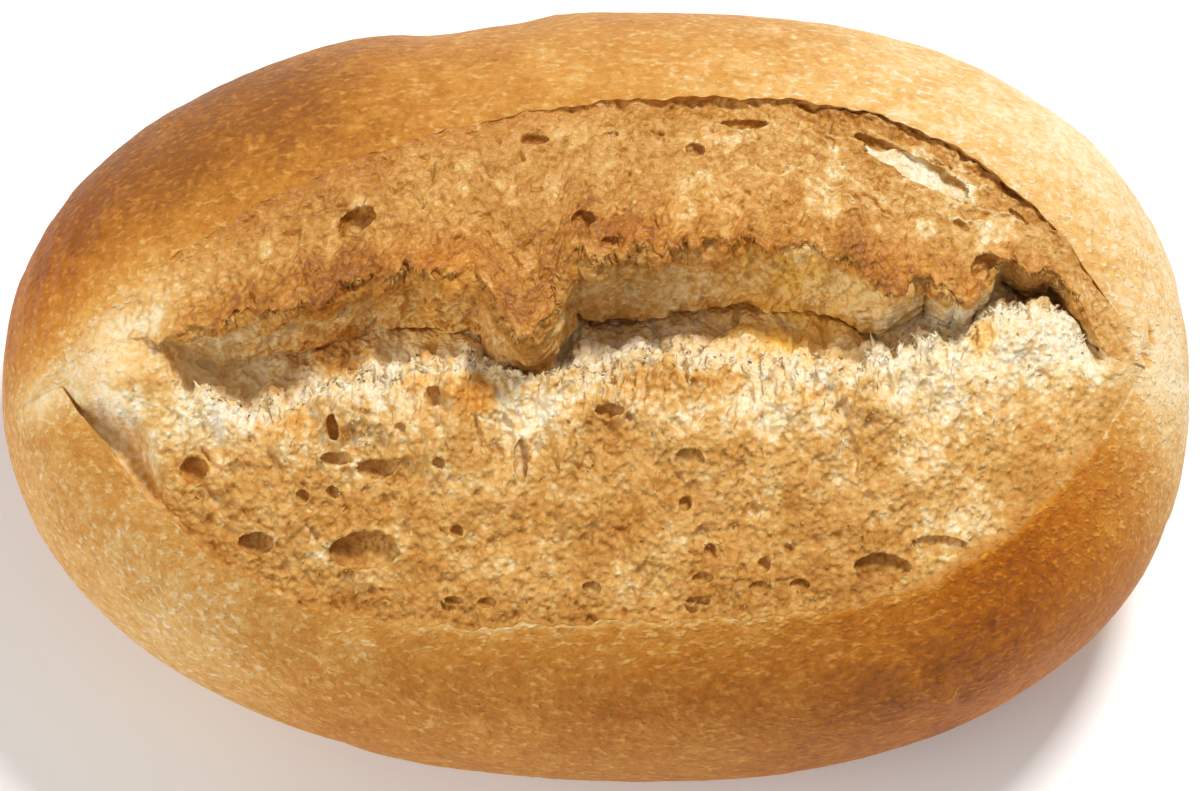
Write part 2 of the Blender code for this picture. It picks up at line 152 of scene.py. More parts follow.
# Size and seed of each field of noise
fields = {
    "clumps": (5 * mm, 47), "backStep": (4 * mm, 48),
    "bubbleEdge": (1.3 * mm, 41), "bubbleNicks": (0.6 * mm, 57),
    "warpU": (1.5 * mm, 35), "warpV": (1.5 * mm, 36), "lean": (3.5 * mm, 42),
    "ridges": (1 * mm, 31), "tufts": (1 * mm, 32), "frayed": (2.8 * mm, 43),
    "rough": (2.4 * mm, 33), "grain": (0.9 * mm, 38), "wall": (5 * mm, 46), "folds": (1.7 * mm, 55),
    "shelf": (6 * mm, 49), "pulled": (1 * mm, 37), "crackPlace": (2.5 * mm, 44), "crackDepth": (4 * mm, 39),
    "cream": (2.4 * mm, 50), "toasted": (4.5 * mm, 53), "tone": (7 * mm, 34),
    "amberAndGlow": (3 * mm, 45), "skin": (3 * mm, 40),
    "crustSwell": (10 * mm, 51), "crustRipple": (2.4 * mm, 52), "crustTone": (24 * mm, 54),
}

# How much longer the torn streaks are along the slash and across it
stretches = {"ridges": (0.7, 2.6), "tufts": (1.9, 3.4), "folds": (1.3, 1), "pulled": (4, 0.9)}


def along(x, points):
    knots, sizes = np.array(points, float).T * mm
    slopes = np.gradient(sizes, knots)
    x = np.clip(x, knots[0], knots[-1])
    i = np.clip(np.searchsorted(knots, x) - 1, 0, len(knots) - 2)
    step = knots[i + 1] - knots[i]
    t = (x - knots[i]) / step
    start = (1 + 2 * t) * (1 - t) ** 2 * sizes[i] + t * (1 - t) ** 2 * step * slopes[i]
    end = t * t * (3 - 2 * t) * sizes[i + 1] + t * t * (t - 1) * step * slopes[i + 1]
    return start + end


def shareAt(x, points):
    # a share that runs straight from one point of (x in mm, share) to the next
    knots, shares = np.array(points, float).T
    return np.interp(x, knots * mm, shares)


def eased(share):
    # from 0 to 1, level at both ends
    share = np.clip(share, 0, 1)
    return share**2 * (3 - 2 * share)


def rags(x, phase):
    # the fine rags come in clumps
    clumps = np.clip(0.35 + 1.3 * softNoise(x, 0 * x, *fields["clumps"]), 0, 1)
    return sum(height * np.sin(2 * math.pi * x / length + phase * (k + 1)) * (clumps if k > 2 else 1)
               for k, (length, height) in enumerate(slash["rags"]))


def shrink(share, power):
    return np.clip(1 - np.abs(share) ** power, 0, 1) ** (1 / power)


def halfWidthAt(x, side):
    left, right = body["cornerPower"][side]
    reach = np.where(x < body["widestX"], halfLength + body["widestX"], halfLength - body["widestX"])
    share = (x - body["widestX"]) / reach
    width = body["halfWidth"] * np.where(share < 0, shrink(share, left), shrink(share, right))
    if side == "back":
        width = width - body["sagDepth"] * np.exp(-(((x - body["sagX"]) / body["sagReach"]) ** 4))
    return width


def bodyTop(x, y):
    width = np.where(y < 0, halfWidthAt(x, "front"), halfWidthAt(x, "back"))
    rise = body["crown"] * shrink(x / halfLength, body["endPower"])
    return body["waist"] + rise * shrink(y / np.maximum(width, 1e-9), body["topPower"])


def lipY(x, side):
    ends = slash["cornerX"]
    axis = np.interp(x, ends, slash["cornerY"])
    start = slash["frontCornerX"] if side == "front" else ends[0]
    share = np.interp(x, (start, slash["widestX"][side], ends[1]), (-1, 0, 1))
    left, right = slash["lipPower"][side]
    reach = slash["reach"][side] * (1 - np.abs(share) ** np.where(share < 0, left, right))
    runIn = np.minimum(1, halfWidthAt(x, "front") / slash["tipWidth"])
    waver = sum(height * np.sin(2 * math.pi * x / length + height / mm)
                for length, height in slash["lipWaver"])
    waver = waver * np.clip(reach / (4 * mm), 0, 1)
    return runIn * (axis + (reach if side == "back" else -reach) + waver)


def crumbRelief(x, y):
    draw = np.random.default_rng(relief["seed"])
    lengths = draw.uniform(*relief["lengths"], relief["waves"])
    turns = draw.uniform(0, 2 * math.pi, relief["waves"])
    phases = draw.uniform(0, 2 * math.pi, relief["waves"])
    y = y / relief["stretch"]
    waves = sum(np.sin(2 * math.pi * (x * math.cos(turn) + y * math.sin(turn)) / length + phase)
                for length, turn, phase in zip(lengths, turns, phases))
    return relief["height"] * waves / math.sqrt(relief["waves"] / 2)


def softNoise(u, v, size, seed):
    # value noise from -1 to 1, its lumps about this size
    table = np.random.default_rng(seed).uniform(-1, 1, (noiseTable, noiseTable))
    a, b = u / size, v / size
    i, j = np.floor(a).astype(int), np.floor(b).astype(int)
    s, t = a - i, b - j
    s, t = s * s * (3 - 2 * s), t * t * (3 - 2 * t)
    i, j, i2, j2 = (place % noiseTable for place in (i, j, i + 1, j + 1))
    low = table[i, j] * (1 - s) + table[i2, j] * s
    high = table[i, j2] * (1 - s) + table[i2, j2] * s
    return low * (1 - t) + high * t


def streaks(u, v, kind):
    alongSlash, across = stretches[kind]
    return softNoise(u / alongSlash, v / across, *fields[kind])


def roughNoise(u, v, size, seed):
    return sum(softNoise(u, v, size / 2**k, seed + k) / 2**k for k in range(3)) / 1.4


def openPores(u, v, look, share):
    # round pores of one size class: how deep each point lies in one
    spacing, stretch = look["spacing"], look["stretch"]
    smallest, largest = look["radii"]
    a, b = u / spacing, v / (spacing * stretch)
    i, j = np.floor(a).astype(int), np.floor(b).astype(int)
    table = np.random.default_rng(look["seed"]).random((poreTable, poreTable, 4))
    drop = np.zeros(np.broadcast(u, v).shape)
    for di in (-1, 0, 1):
        for dj in (-1, 0, 1):
            cell = table[(i + di) % poreTable, (j + dj) % poreTable]
            shiftU, shiftV, size, chance = np.moveaxis(cell, -1, 0)
            radius = spacing * (smallest + (largest - smallest) * size**2)
            du = a - (i + di) - shiftU
            dv = b - (j + dj) - shiftV
            away = (du**2 + dv**2) * spacing**2 / radius**2
            deep = look["depth"] * radius * np.sqrt(np.clip(1 - away, 0, 1))
            drop = np.maximum(drop, np.where(chance < share, deep, 0))
    return drop


def crustSide(x, side, columns):
    sign = -1 if side == "front" else 1
    width = halfWidthAt(x, side)[:, None]
    otherWidth = halfWidthAt(x, "back" if side == "front" else "front")[:, None]
    lip = sign * lipY(x, side)[:, None]
    lipShare = lip / np.maximum(np.where(lip < 0, otherWidth, width), 1e-9)
    lipTurn = np.arccos(np.clip(np.sign(lipShare) * np.abs(lipShare) ** (body["topPower"] / 2), -1, 1))
    turn = lipTurn + (-math.pi / 2 - lipTurn) * np.linspace(0, 1, columns) ** 1.1
    power = np.where(turn > 0, body["topPower"], body["basePower"])
    share = np.abs(np.cos(turn)) ** (2 / power)
    y = sign * np.where(np.cos(turn) < 0, -otherWidth * share, width * share)
    y[:, -1] = 0
    up = np.abs(np.sin(turn)) ** (2 / power)
    end = shrink(x / halfLength, body["endPower"])[:, None]
    fall = body["baseOvershoot"] * body["waist"] * end
    z = body["waist"] + np.where(turn > 0, body["crown"] * end, -fall) * up
    soft = (z + body["baseEdge"]) ** 2 / (4 * body["baseEdge"])
    return y, np.where(z > body["baseEdge"], z, np.where(z < -body["baseEdge"], 0, soft))


def slashStations(x):
    front, back = lipY(x, "front"), lipY(x, "back")
    share = np.interp(x, (slash["cornerX"][0], 0, slash["cornerX"][1]), (-1, 0, 1))
    openness = 1 - share**6
    depth = openness * np.maximum(along(x, slash["depth"]), 0)
    width = back - front
    ragged = rags(x, slash["ragPhases"]["torn"]) * openness
    torn = np.clip(along(x, slash["tornEdge"]) + ragged, front + 0.4 * width, front + 0.9 * width)
    wall = torn - 0.95 * ragged
    rim = along(x, slash["rim"]) + 0.7 * rags(x, slash["ragPhases"]["rim"]) * openness
    rim = np.clip(rim, front + 0.2 * width, torn - 0.02 * width)
    recess = openness * along(x, slash["recess"])
    rise, drop, hollow, undercut = (openness * np.maximum(along(x, slash[line]), 0)
                                    for line in ("earRise", "faceDrop", "hollow", "undercut"))
    step = openness * slash["lipStep"]
    backStep = step * shareAt(x, slash["backStep"])
    backStep = backStep * (1 + slash["stepWaver"] * softNoise(x, 0 * x, *fields["backStep"]))
    frontStep = step * shareAt(x, slash["frontStep"])
    thickness = np.minimum(openness * slash["tornThickness"], 0.4 * (rise + drop + depth))
    face, gap, ear = rim - front, torn - rim, back - torn
    cavity = np.clip(hollow / (4 * mm), 0, 1)
    inset = np.minimum(step + 1.2 * hollow, (0.45 + 0.4 * cavity) * face)
    recessAbove = np.where(recess > 0, recess, 0.35 * recess)
    crag = slash["crag"] * openness * rags(x, slash["ragPhases"]["crag"]) * (depth > 0)
    # y, height over the body, then shares of relief, browning and torn fibres
    stations = (
        (front, 0 * x, 0, 0.62, 0),
        (front + 0.3 * inset, -frontStep - hollow, 0.2, 0.68, 0),
        (front + inset, -frontStep - 0.9 * hollow, 0.4, 0.64, 0.1),
        (front + (0.35 + 0.37 * cavity) * face, -0.85 * drop, 0.7, 0.6, 0.2),
        (front + (0.7 + 0.16 * cavity) * face, -drop, 0.9, 0.5, 0.4),
        (rim, -0.85 * drop + crag, 1.3, 0.16, 1),
        (rim + 0.2 * gap, -drop - 0.45 * depth, 1.3, 0.14, 1),
        (rim + 0.6 * gap, -drop - depth, 1, 0.12, 0.5),
        (wall + recess, -drop - depth, 0.6, 0.3, 0.05),
        (wall + recessAbove, -drop - 0.2 * depth, 0.4, 0.15, 0),
        (wall + 0.35 * recessAbove, rise - thickness, 0.3, 0.35, 0.05),
        (torn, rise - 0.5 * thickness, 0.6, 0.66, 0.25),
        (torn, rise + 0.2 * thickness, 0.7, 0.8, 0.2),
        (torn + 0.14 * ear, 0.9 * rise, 0.6, 0.72, 0.1),
        (torn + 0.5 * ear, 0.3 * rise, 0.5, 0.56, 0.1),
        (torn + 0.85 * ear, -0.7 * backStep, 0.3, 0.6, 0.1),
        (back + undercut, -1.4 * backStep - 0.5 * undercut, 0, 0.68, 0),
        (back, 0 * x, 0, 0.62, 0),
    )
    y = np.array([station[0] for station in stations])
    z = np.array([bodyTop(x, np.clip(station[0], front, back)) + station[1] for station in stations])
    shares = np.array([station[2:] for station in stations])
    return y, z, shares, openness


def splineWeights(count, t):
    # clamped cubic B-spline
    knots = np.concatenate([[0] * 3, np.linspace(0, 1, count - 2), [1] * 3])
    t = np.minimum(t, 1 - 1e-9)
    weights = np.array([(knots[i] <= t) & (t < knots[i + 1]) for i in range(len(knots) - 1)], float)
    for degree in (1, 2, 3):
        raised = []
        for i in range(len(weights) - 1):
            left, right = knots[i + degree] - knots[i], knots[i + degree + 1] - knots[i + 1]
            rising = (t - knots[i]) / left if left else 0
            falling = (knots[i + degree + 1] - t) / right if right else 0
            raised.append(rising * weights[i] + falling * weights[i + 1])
        weights = np.array(raised)
    return weights.T


def evenPlaces(y, z, start, end, columns):
    trial = np.linspace(start, end, 600)
    weights = splineWeights(len(y), trial)
    steps = np.hypot(np.diff(weights @ y, axis=0), np.diff(weights @ z, axis=0)).mean(axis=1)
    length = np.concatenate([[0], np.cumsum(steps)])
    return np.interp(np.linspace(0, length[-1], columns), length, trial)


def rowPlaces(rows):
    x = halfLength * np.sin(np.linspace(-math.pi / 2, math.pi / 2, 4000))
    z = body["crown"] * shrink(x / halfLength, body["endPower"])
    length = np.concatenate([[0], np.cumsum(np.hypot(np.diff(x), np.diff(z)))])
    return np.interp(np.linspace(0, length[-1], rows + 2)[1:-1], length, x)


def normalsOf(points):
    down, across = np.gradient(points, axis=0), np.gradient(points, axis=1)
    normals = np.cross(down, across)
    return normals / np.maximum(np.linalg.norm(normals, axis=2, keepdims=True), 1e-12)


def evened(values, reach=20):
    # averaged over neighbouring rows
    padded = np.pad(values, ((reach, reach), (0, 0)), mode="edge")
    total = np.cumsum(np.vstack([0 * padded[:1], padded]), axis=0)
    return (total[2 * reach + 1:] - total[:-2 * reach - 1]) / (2 * reach + 1)


def acrossLength(points):
    steps = np.linalg.norm(np.diff(points, axis=1), axis=2)
    return np.hstack([np.zeros((len(points), 1)), np.cumsum(steps, axis=1)])


def patch(x, y, spot):
    atX, atY, radiusX, radiusY = np.array(spot) * mm
    return np.exp(-(((x - atX) / radiusX) ** 2 + ((y - atY) / radiusY) ** 2))


def meshPiece(name, points, attributes, material, closed=False):
    rows, columns, _ = points.shape
    index = np.arange(rows * columns).reshape(rows, columns)
    corners = (index[:-1, :-1], index[:-1, 1:], index[1:, 1:], index[1:, :-1])
    mesh = bpy.data.meshes.new(name)
    mesh.from_pydata(points.reshape(-1, 3), [], np.stack(corners, axis=-1).reshape(-1, 4).tolist())
    for label, values in attributes.items():
        mesh.attributes.new(label, "FLOAT", "POINT").data.foreach_set("value", values.reshape(-1))
    mesh.materials.append(material)
    shape = bmesh.new()
    shape.from_mesh(mesh)
    if closed:
        bmesh.ops.remove_doubles(shape, verts=shape.verts, dist=0.01 * mm)
        rims = [edge for edge in shape.edges if edge.is_boundary]
        bmesh.ops.holes_fill(shape, edges=rims, sides=2 * columns)
    bmesh.ops.recalc_face_normals(shape, faces=shape.faces)
    shape.to_mesh(mesh)
    shape.free()
    mesh.shade_smooth()
    piece = bpy.data.objects.new(name, mesh)
    bpy.context.scene.collection.objects.link(piece)
    return piece


# Materials

def toLinear(hexColour):
    channels = [int(hexColour[i:i + 2], 16) / 255 for i in (1, 3, 5)]
    return [c / 12.92 if c <= 0.04045 else ((c + 0.055) / 1.055) ** 2.4 for c in channels] + [1]


def addNode(tree, kind, settings=None, inputs=None):
    made = tree.nodes.new("ShaderNode" + kind)
    for name, value in (settings or {}).items():
        setattr(made, name, value)
    for name, value in (inputs or {}).items():
        if isinstance(value, bpy.types.NodeSocket):
            tree.links.new(value, made.inputs[name])
        else:
            made.inputs[name].default_value = value
    return made


def browningRamp(tree, level, stops):
    ramp = addNode(tree, "ValToRGB", None, {"Fac": level})
    elements = ramp.color_ramp.elements
    for place, colour in stops[2:]:
        elements.new(place)
    for element, (place, colour) in zip(sorted(elements, key=lambda e: e.position), sorted(stops)):
        element.position = place
        element.color = toLinear(colour)
    return ramp.outputs["Color"]


def attribute(tree, name):
    return addNode(tree, "Attribute", {"attribute_name": name}).outputs["Fac"]


def noise(tree, place, size, detail, roughness=0.5):
    return addNode(tree, "TexNoise", None, {"Vector": place, "Scale": 1 / size, "Detail": detail,
                                            "Roughness": roughness}).outputs["Fac"]


def addScaled(tree, value, amount, base):
    return addNode(tree, "Math", {"operation": "MULTIPLY_ADD"}, {0: value, 1: amount, 2: base}).outputs[0]


def less(tree, value, amount):
    return addNode(tree, "Math", {"operation": "SUBTRACT"}, {0: value, 1: amount}).outputs[0]


def mixedColour(tree, share, first, second, blend="MIX"):
    return addNode(tree, "Mix", {"data_type": "RGBA", "blend_type": blend},
                   {0: share, 6: first, 7: second}).outputs[2]


def startMaterial(name):
    material = bpy.data.materials.new(name)
    material.use_nodes = True
    tree = material.node_tree
    return material, tree, tree.nodes["Principled BSDF"]


crustLook = {
    "browning": ((0.0, "#f3dcb2"), (0.25, "#e3b56c"), (0.5, "#cd9040"), (0.75, "#b57326"), (1.0, "#8c5217")),
    "fleckPaler": 0.26,  # dried flour and tiny blisters, so much less browned
    "mottleSize": 12 * mm,
    "mottled": 0.35,
    "patchSize": 3.2 * mm,
    "patched": 0.35,
    "grainSize": 0.9 * mm,
    "grained": 0.6,
    "stretch": (0.65, 1, 1),  # flecks and flakes lie along the roll
    "fleckSize": 0.75 * mm,
    "fleckRange": (0.53, 0.74),
    "flakeSize": 2.2 * mm,
    "flakeRange": (0.56, 0.72),
    "flakePale": 0.5,
    "palePuff": 0.5,  # how much higher a fleck stands
    "patchPuff": 1.2,
    "roughness": 0.52,
    "ior": 1.24,
    "bump": 0.8,
}


def crustPattern(tree, place, browning):
    # colour and height of the baked skin
    mottle = noise(tree, place, crustLook["mottleSize"], 4)
    blotch = noise(tree, place, crustLook["patchSize"], 3)
    grain = noise(tree, place, crustLook["grainSize"], 3, 0.6)
    level = browning
    for value, amount in ((mottle, "mottled"), (blotch, "patched"), (grain, "grained")):
        level = addScaled(tree, less(tree, value, 0.5), crustLook[amount], level)
    stretched = addNode(tree, "Mapping", None, {"Vector": place, "Scale": crustLook["stretch"]}).outputs[0]
    spots = []
    for kind, detail, most in (("fleck", 1, 1), ("flake", 3, crustLook["flakePale"])):
        low, high = crustLook[kind + "Range"]
        value = noise(tree, stretched, crustLook[kind + "Size"], detail)
        ranged = addNode(tree, "MapRange", None, {"Value": value, 1: low, 2: high, 3: 0, 4: most})
        spots.append(ranged.outputs[0])
    pale = addNode(tree, "Math", {"operation": "MAXIMUM"}, {0: spots[0], 1: spots[1]}).outputs[0]
    baked = browningRamp(tree, level, crustLook["browning"])
    paler = browningRamp(tree, less(tree, level, crustLook["fleckPaler"]), crustLook["browning"])
    height = addScaled(tree, pale, crustLook["palePuff"], grain)
    return mixedColour(tree, pale, baked, paler), addScaled(tree, blotch, crustLook["patchPuff"], height)


crumbLook = {
    "browning": ((0.0, "#faebcd"), (0.18, "#efd5a2"), (0.4, "#dbac62"), (0.6, "#ca9246"),
                 (0.8, "#b5792a"), (1.0, "#9a5f20")),
    "mottleSize": 5 * mm,
    "mottled": 0.6,
    "grainSize": 1.1 * mm,
    "grained": 0.8,
    "poreSize": 0.6 * mm,
    "poreMiddle": 0.35,
    # painted shade in the pores' dips
    "poreShade": 0.45,
    "poreDip": -1.1,
    "bump": 1.0,
    "glowColour": (1.0, 0.55, 0.25),  # red light reaches furthest into crumb
}
gold = "#ffde84"  # the painted glow of light through a thin toasted wall, and the crust's most golden parts
bumpDistance = 0.45 * mm


def crumbPattern(tree, place, browning):
    # colour and height of the torn, toasted crumb
    mottle = noise(tree, place, crumbLook["mottleSize"], 5)
    grain = noise(tree, place, crumbLook["grainSize"], 4)
    pores = addNode(tree, "TexVoronoi", {"feature": "SMOOTH_F1"},
                    {"Vector": place, "Scale": 1 / crumbLook["poreSize"]}).outputs["Distance"]
    level = browning
    # the pores are darker where they dip: painted shade
    for value, middle, amount in ((mottle, 0.5, "mottled"), (grain, 0.5, "grained"),
                                  (pores, crumbLook["poreMiddle"], "poreShade")):
        level = addScaled(tree, less(tree, value, middle), crumbLook[amount], level)
    height = addScaled(tree, pores, crumbLook["poreDip"], grain)
    return browningRamp(tree, level, crumbLook["browning"]), height


def golden(tree, colour):
    # multiplies by gold where the attribute says so: golden crumb, and a painted glow where light shines
    # through thin crumb
    return mixedColour(tree, attribute(tree, "amberAndGlow"), colour, toLinear(gold), "MULTIPLY")


def finishShader(tree, shader, colour, height, strength):
    tree.links.new(colour, shader.inputs["Base Color"])
    bump = addNode(tree, "Bump", None, {"Height": height, "Strength": strength, "Distance": bumpDistance})
    tree.links.new(bump.outputs["Normal"], shader.inputs["Normal"])


def bakedCrust():
    # lean wheat dough baked to a thin shell: a satin skin, mottled gold and brown, with pale flecks
    material, tree, shader = startMaterial("baked crust")
    place = addNode(tree, "TexCoord").outputs["Object"]
    colour, height = crustPattern(tree, place, attribute(tree, "browning"))
    finishShader(tree, shader, golden(tree, colour), height, crustLook["bump"])
    shader.inputs["Roughness"].default_value = crustLook["roughness"]
    shader.inputs["IOR"].default_value = crustLook["ior"]
    return material


def tornMaterial(name, look):
    # torn crumb that runs into the crust's skin where "skin" says so
    material, tree, shader = startMaterial(name)
    place = addNode(tree, "TexCoord").outputs["Object"]
    browning, skin = attribute(tree, "browning"), attribute(tree, "skin")
    skinColour, skinHeight = crustPattern(tree, place, browning)
    tornColour, tornHeight = crumbPattern(tree, place, browning)
    colour = mixedColour(tree, skin, golden(tree, tornColour), skinColour)
    height = addNode(tree, "Mix", {"data_type": "FLOAT"}, {0: skin, 2: tornHeight, 3: skinHeight})
    finishShader(tree, shader, colour, height.outputs[0], crumbLook["bump"])
    shader.inputs["Roughness"].default_value = look["roughness"]
    shader.inputs["IOR"].default_value = look["ior"]
    shader.inputs["Subsurface Weight"].default_value = look["glow"]
    shader.inputs["Subsurface Radius"].default_value = crumbLook["glowColour"]
    shader.inputs["Subsurface Scale"].default_value = look["glowDepth"]
    return material


# open wheat crumb torn by steam and toasted: matt, cream inside and gold where it faced the oven, with a
# painted gold glow where light shines through thin crumb
crumbFinish = {"roughness": 0.62, "ior": 1.35, "glow": 0.22, "glowDepth": 1.6 * mm}
# crumb that dried and browned to a shiny skin, running into the baked crust behind it
earFinish = {"roughness": 0.44, "ior": 1.42, "glow": 0.03, "glowDepth": 1 * mm}


# The roll's form

# Size classes of the crumb's open pores, their sizes in shares of the spacing
crumbPores = {
    "large": {"spacing": 3 * mm, "radii": (0.2, 0.36), "depth": 0.9, "stretch": 1.2, "seed": 21},
    "middle": {"spacing": 1.5 * mm, "radii": (0.22, 0.42), "depth": 0.85, "stretch": 1.25, "seed": 22},
    "small": {"spacing": 0.85 * mm, "radii": (0.25, 0.5), "depth": 0.7, "stretch": 1.3, "seed": 23},
    "shreds": {"spacing": 1.3 * mm, "radii": (0.4, 0.75), "depth": 0.9, "stretch": 2.8, "seed": 24},
}

poreShares = {  # how many of each size are open, then how many more where the crumb is torn to fibres
    "lower": {"large": (0.3, 0.2), "middle": (0.5, 0.1), "small": (0.6, 0), "shreds": (-0.3, 1.2)},
    "crevice": {"large": (0.1, 0.2), "middle": (0.3, 0.1), "small": (0.4, 0), "shreds": (-0.3, 1)},
    "ear": {"large": (0.14, 0.2), "middle": (0.34, 0.2), "small": (0.5, 0), "shreds": (-0.3, 0.9)},
}

# Patches are x, y and radii in mm, and how much more there; some pale ones are painted light
toneAndLightPatches = {
    "lower": ((-54, -6, 7, 4.5, -0.5), (-54, -12, 4, 4, -0.25), (-51.5, -16, 4, 3.5, -0.18),
              (-40, -20, 14, 8, -0.08), (-13, -11, 4, 3, 0.18), (-30, -27.2, 2.2, 1.8, -0.35),
              (-25.5, -30, 4, 1, -0.3), (35, -28, 7, 1.6, -0.3), (-62, -7.5, 3, 3, -0.4),
              (47, -2.5, 6, 5, -0.5), (53, -9, 6, 6, -0.2), (-40, -13, 8, 4, -0.25),
              (-33, -13, 4, 3, 0.25), (-30, -24, 4, 6, 0.1), (0, -31, 9, 2, -0.1),
              (-9, -13, 5, 3, -0.25), (31, -29, 5, 3, 0.2), (40, -24, 6, 3, -0.2),
              (4, -22, 26, 7, -0.07), (41, -14, 9, 6, -0.25), (10, -8.5, 9, 2, 0.08),
              (36, -6, 6, 3, -0.2)),
    # painted light: the crevice's pale patches lift its shaded left cavity, floor and right end, and under
    # the ear they paint light shining through the ear
    "crevice": ((-56, -6, 6, 4, -0.5), (23, 0, 10, 8, -0.5), (4, 0, 6, 8, -0.12), (-40, -5, 9, 5, -0.28),
                (-18, -2, 7, 5, -0.2), (12, -4, 22, 2.5, -0.1), (36, -2, 8, 5, -0.3)),
    "ear": ((-56, -3, 6, 3, -0.3), (-33, 10, 12, 8, 0.08), (-49, -1, 6, 5, -0.15),
            (44, 12, 10, 8, -0.1), (24, 12, 14, 7, -0.08), (28, 9, 10, 4, -0.12), (45, 7, 6, 4, -0.1),
            (-10, 8, 8, 5, 0.05), (-2, 4, 6, 4, 0.15), (-28, 2, 8, 3, 0.12), (16.5, 20.4, 4, 1, -0.3)),
}
glowAndAmberPatches = {  # painted glow: where light through thin crumb is painted gold, and where the crumb is more golden
    "lower": ((10, -9, 9, 2.5, 0.3), (-13.5, -12, 2.5, 2.5, 0.45), (-11, -9.5, 5, 2.5, 0.4),
              (-33, -12.5, 2.5, 2, 0.5), (-20, -9.5, 3, 1.5, 0.7), (-44, -18, 2.5, 1.5, 0.6),
              (42.5, -2.5, 1.5, 3, 0.8), (22, -11, 4, 1, 0.5), (48, -14, 3, 3, 0.3)),
    "crevice": ((-42, -4, 9, 6, 0.5), (22, 1, 11, 7, 1.1), (-18, -2, 8, 4, 0.8), (-30, -2, 5, 4, 0.4)),
    "ear": ((-18, 2, 8, 2.2, 0.4), (5, 5, 6, 2, 0.3), (34, 2, 4, 2, 0.3)),
}
# the pale patches at the top right and the right end are partly a paler bake and partly a painted sheen
crustToneAndSheenPatches = ((-45, 26, 25, 18, 0.62), (-62, 10, 8, 16, 0.22), (46, -30, 24, 16, 0.26),
                (38, -42, 16, 7, 0.12), (0, -42, 50, 7, 0.16), (48, 28, 24, 20, -0.38),
                (66, 0, 10, 22, -0.3), (4, 40, 22, 12, 0.18), (-50, -28, 16, 12, -0.14))
# The pale skin round the slash's two ends, which fades down the crust
endPatches = ((-54, -3, 8, 6, -0.32), (-50, 1, 7, 5, -0.1), (-61.5, -7, 4.5, 3, -0.5), (61, -4, 6, 5, -0.2))
endReach = (24 * mm, 38 * mm)  # the heights where it's gone and where it's full
goldenPatches = ((50, -28, 26, 16, 1.1), (0, -42, 60, 7, 0.5), (-64, 12, 9, 18, 0.8))
spurPatch = (-57, -5.5, 8, 5.5)

# Raised skin flakes and small pits of the crust, the pits with painted shade: x, y, radii and height in mm
crustMarks = ((37.1, -38.7, 2.7, 0.7, 0.3), (-27, -36.6, 3.3, 1.4, 0.25), (59, -1.4, 0.8, 1.1, -1.2),
              (61.4, -2.6, 0.7, 0.8, -1.1), (62, 0.5, 0.4, 0.6, -0.6), (-48, 27, 1.7, 1.3, 0.22),
              (-38, 20, 1.2, 1, 0.2), (-55, 13, 1.6, 1, 0.2), (20, 37, 1.1, 0.8, 0.18))

bubbleLook = {
    "widest": 1.12,  # inside, in shares of the mouth's radius
    "reach": 1.6,
    "edge": 0.2,  # how far the mouth strays from an ellipse, in large bends and in nicks
    "nicks": 0.14,
    "lipWidth": 0.12,
    "lipPaler": 0.12,
    "lipHeight": 0.05,
    "smoothReach": 0.4,
    # painted shade on each bubble's inner wall
    "wallShade": 0.1,
    "floorSpread": 1.6,  # how widely the bubble's own tone covers its floor
}

skinLook = {  # the crust's form and tone
    "swell": 0.2 * mm,
    "ripple": 0.06 * mm,
    "baseFade": 6 * mm,  # both fade out here above the base and beside the slash
    "lipFade": 4 * mm,
    "tone": 0.5,
    "toneWaver": 0.1,
    "baseDarker": 0.3,  # the tray bakes the base darker
    "baseReach": 7 * mm,
    # painted shade in the crust's small pits
    "pitShade": 0.5,
    "flakePaler": 0.12,
    "lipHighlight": 0.3,  # painted highlight where the crust's front edge at the slash catches the light; at the back lip it darkens the edge instead
    "ridgeWidth": 0.5 * mm,
    "frontHighlight": ((-30, 0), (-10, 1)),
    "backRidge": ((18, 0), (28, 0.35), (53, 0.35), (58, 0)),
}

tornLook = {  # the torn faces' relief; pairs are (x in mm, share)
    "spurEnd": ((-49, 0), (-45, 1)),  # torn crumb takes over from the pale spur's skin
    "spurKeeps": 0.2,  # the share of the relief that the spur has
    "lumpFade": 2.2 * mm,
    "warp": 0.35 * mm,
    "lean": 1.1 * mm,
    "ridges": 0.75 * mm,
    "tufts": 0.9 * mm,
    "tuftMiddle": 0.4,
    "rough": 0.2 * mm,
    "grain": 0.16 * mm,
    "rougher": {"crevice": 1.2, "ear": 0.8},
    "wall": 0.7 * mm,
    "folds": 0.45 * mm,
    "shelf": 0.35 * mm,  # a thin step that runs behind the ear's right half
    "shelfWidth": 2.6 * mm,
    "shelfWaver": 0.9 * mm,
    "shelfEdge": 0.5 * mm,
    "shelfAlong": ((14, 0), (26, 1)),
    "pullTurn": math.radians(-32),  # the ear's dough was pulled this way at the right
    "pulled": 0.6 * mm,
    "pulledAlong": ((8, 0), (24, 1)),
    "pulledFrom": 6 * mm,
    "crackAt": 0.027,  # past the crevice's lowest line, along the stations' curve
    "crackWaver": 0.005,
    "crackWidth": 0.008,
    "crackDepth": 3 * mm,
    "crackAlong": ((-40, 0.15), (-24, 1)),
    "minDepth": 3 * mm,  # the crack needs a crevice this deep
    "hanging": 0.9 * mm,  # the layer that hangs over the crack
    "hangingAlong": ((-44, 0.2), (-26, 1)),
    "hangingStart": 0.012,
    "hangingEnd": (0.62, 0.68),
    "poreLimit": 0.9,
    "edgeColumns": 7,
    "bubbleKeeps": 0.15,  # the share of the relief that a bubble's wall has
}

